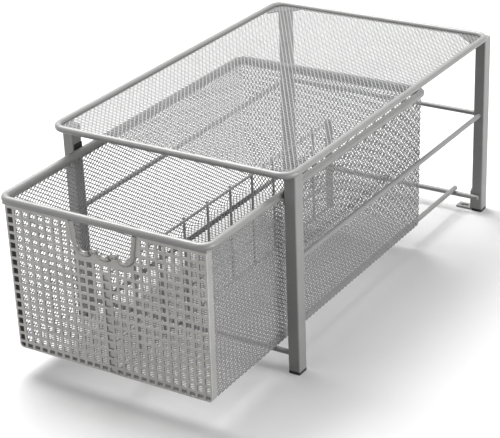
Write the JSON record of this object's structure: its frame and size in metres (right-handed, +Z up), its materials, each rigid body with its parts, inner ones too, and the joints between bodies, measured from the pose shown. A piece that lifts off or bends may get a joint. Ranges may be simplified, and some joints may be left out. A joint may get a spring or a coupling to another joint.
{
  "type": "pull out cabinet basket",
  "caption": "Sliding mesh basket with a perforated, notched front and a wire divider, drawn out on runner rods from under a mesh shelf that stands on tube legs.",
  "frame": {"origin": "on the floor under the four feet, at the centre of the whole object's box with the basket drawn out as at rest", "axes": "+X to the right seen from the front, +Y from the basket's front towards the back of the cabinet, +Z up"},
  "size_m": [0.2566, 0.5176, 0.2017],
  "materials": {
    "steel": "silver-grey powder coat, satin",
    "panel_steel": "silver-grey powder coat, satin",
    "mesh": "silver-grey powder coat on expanded metal",
    "black_rubber": "matt",
    "black_plastic": "matt"
  },
  "bodies": {
    "shelf_frame": {"shelf_rim": "steel", "shelf_mesh": "mesh", "gusset_front_left": "steel", "gusset_front_right": "steel", "gusset_back_left": "steel", "gusset_back_right": "steel", "leg_front_left": "steel", "leg_front_right": "steel", "leg_back_left": "steel", "leg_back_right": "steel", "foot_front_left": "black_rubber", "foot_front_right": "black_rubber", "foot_back_left": "black_rubber", "foot_back_right": "black_rubber", "side_rod_left": "steel", "side_rod_right": "steel", "back_upper_rod": "steel", "back_lower_rod": "steel", "front_lower_rod": "steel", "runner_left": "steel", "runner_right": "steel", "bracket_left": "steel", "bracket_right": "steel", "rim_pad_left": "black_plastic", "rim_pad_right": "black_plastic"},
    "basket": {"basket_rim": "steel", "front_panel": "panel_steel", "mesh_wrap": "mesh", "back_mesh": "mesh", "divider_top_wire": "steel", "divider_middle_wire": "steel", "divider_bottom_wire": "steel", "divider_posts": "steel", "divider_front_strap": "steel", "divider_back_strap": "steel"}
  },
  "joints": [
    {"name": "basket_slide", "type": "slide", "parent": "shelf_frame", "child": "basket", "axis": [0, 1, 0], "range_m": [-0.065, 0.1011]}
  ]
}
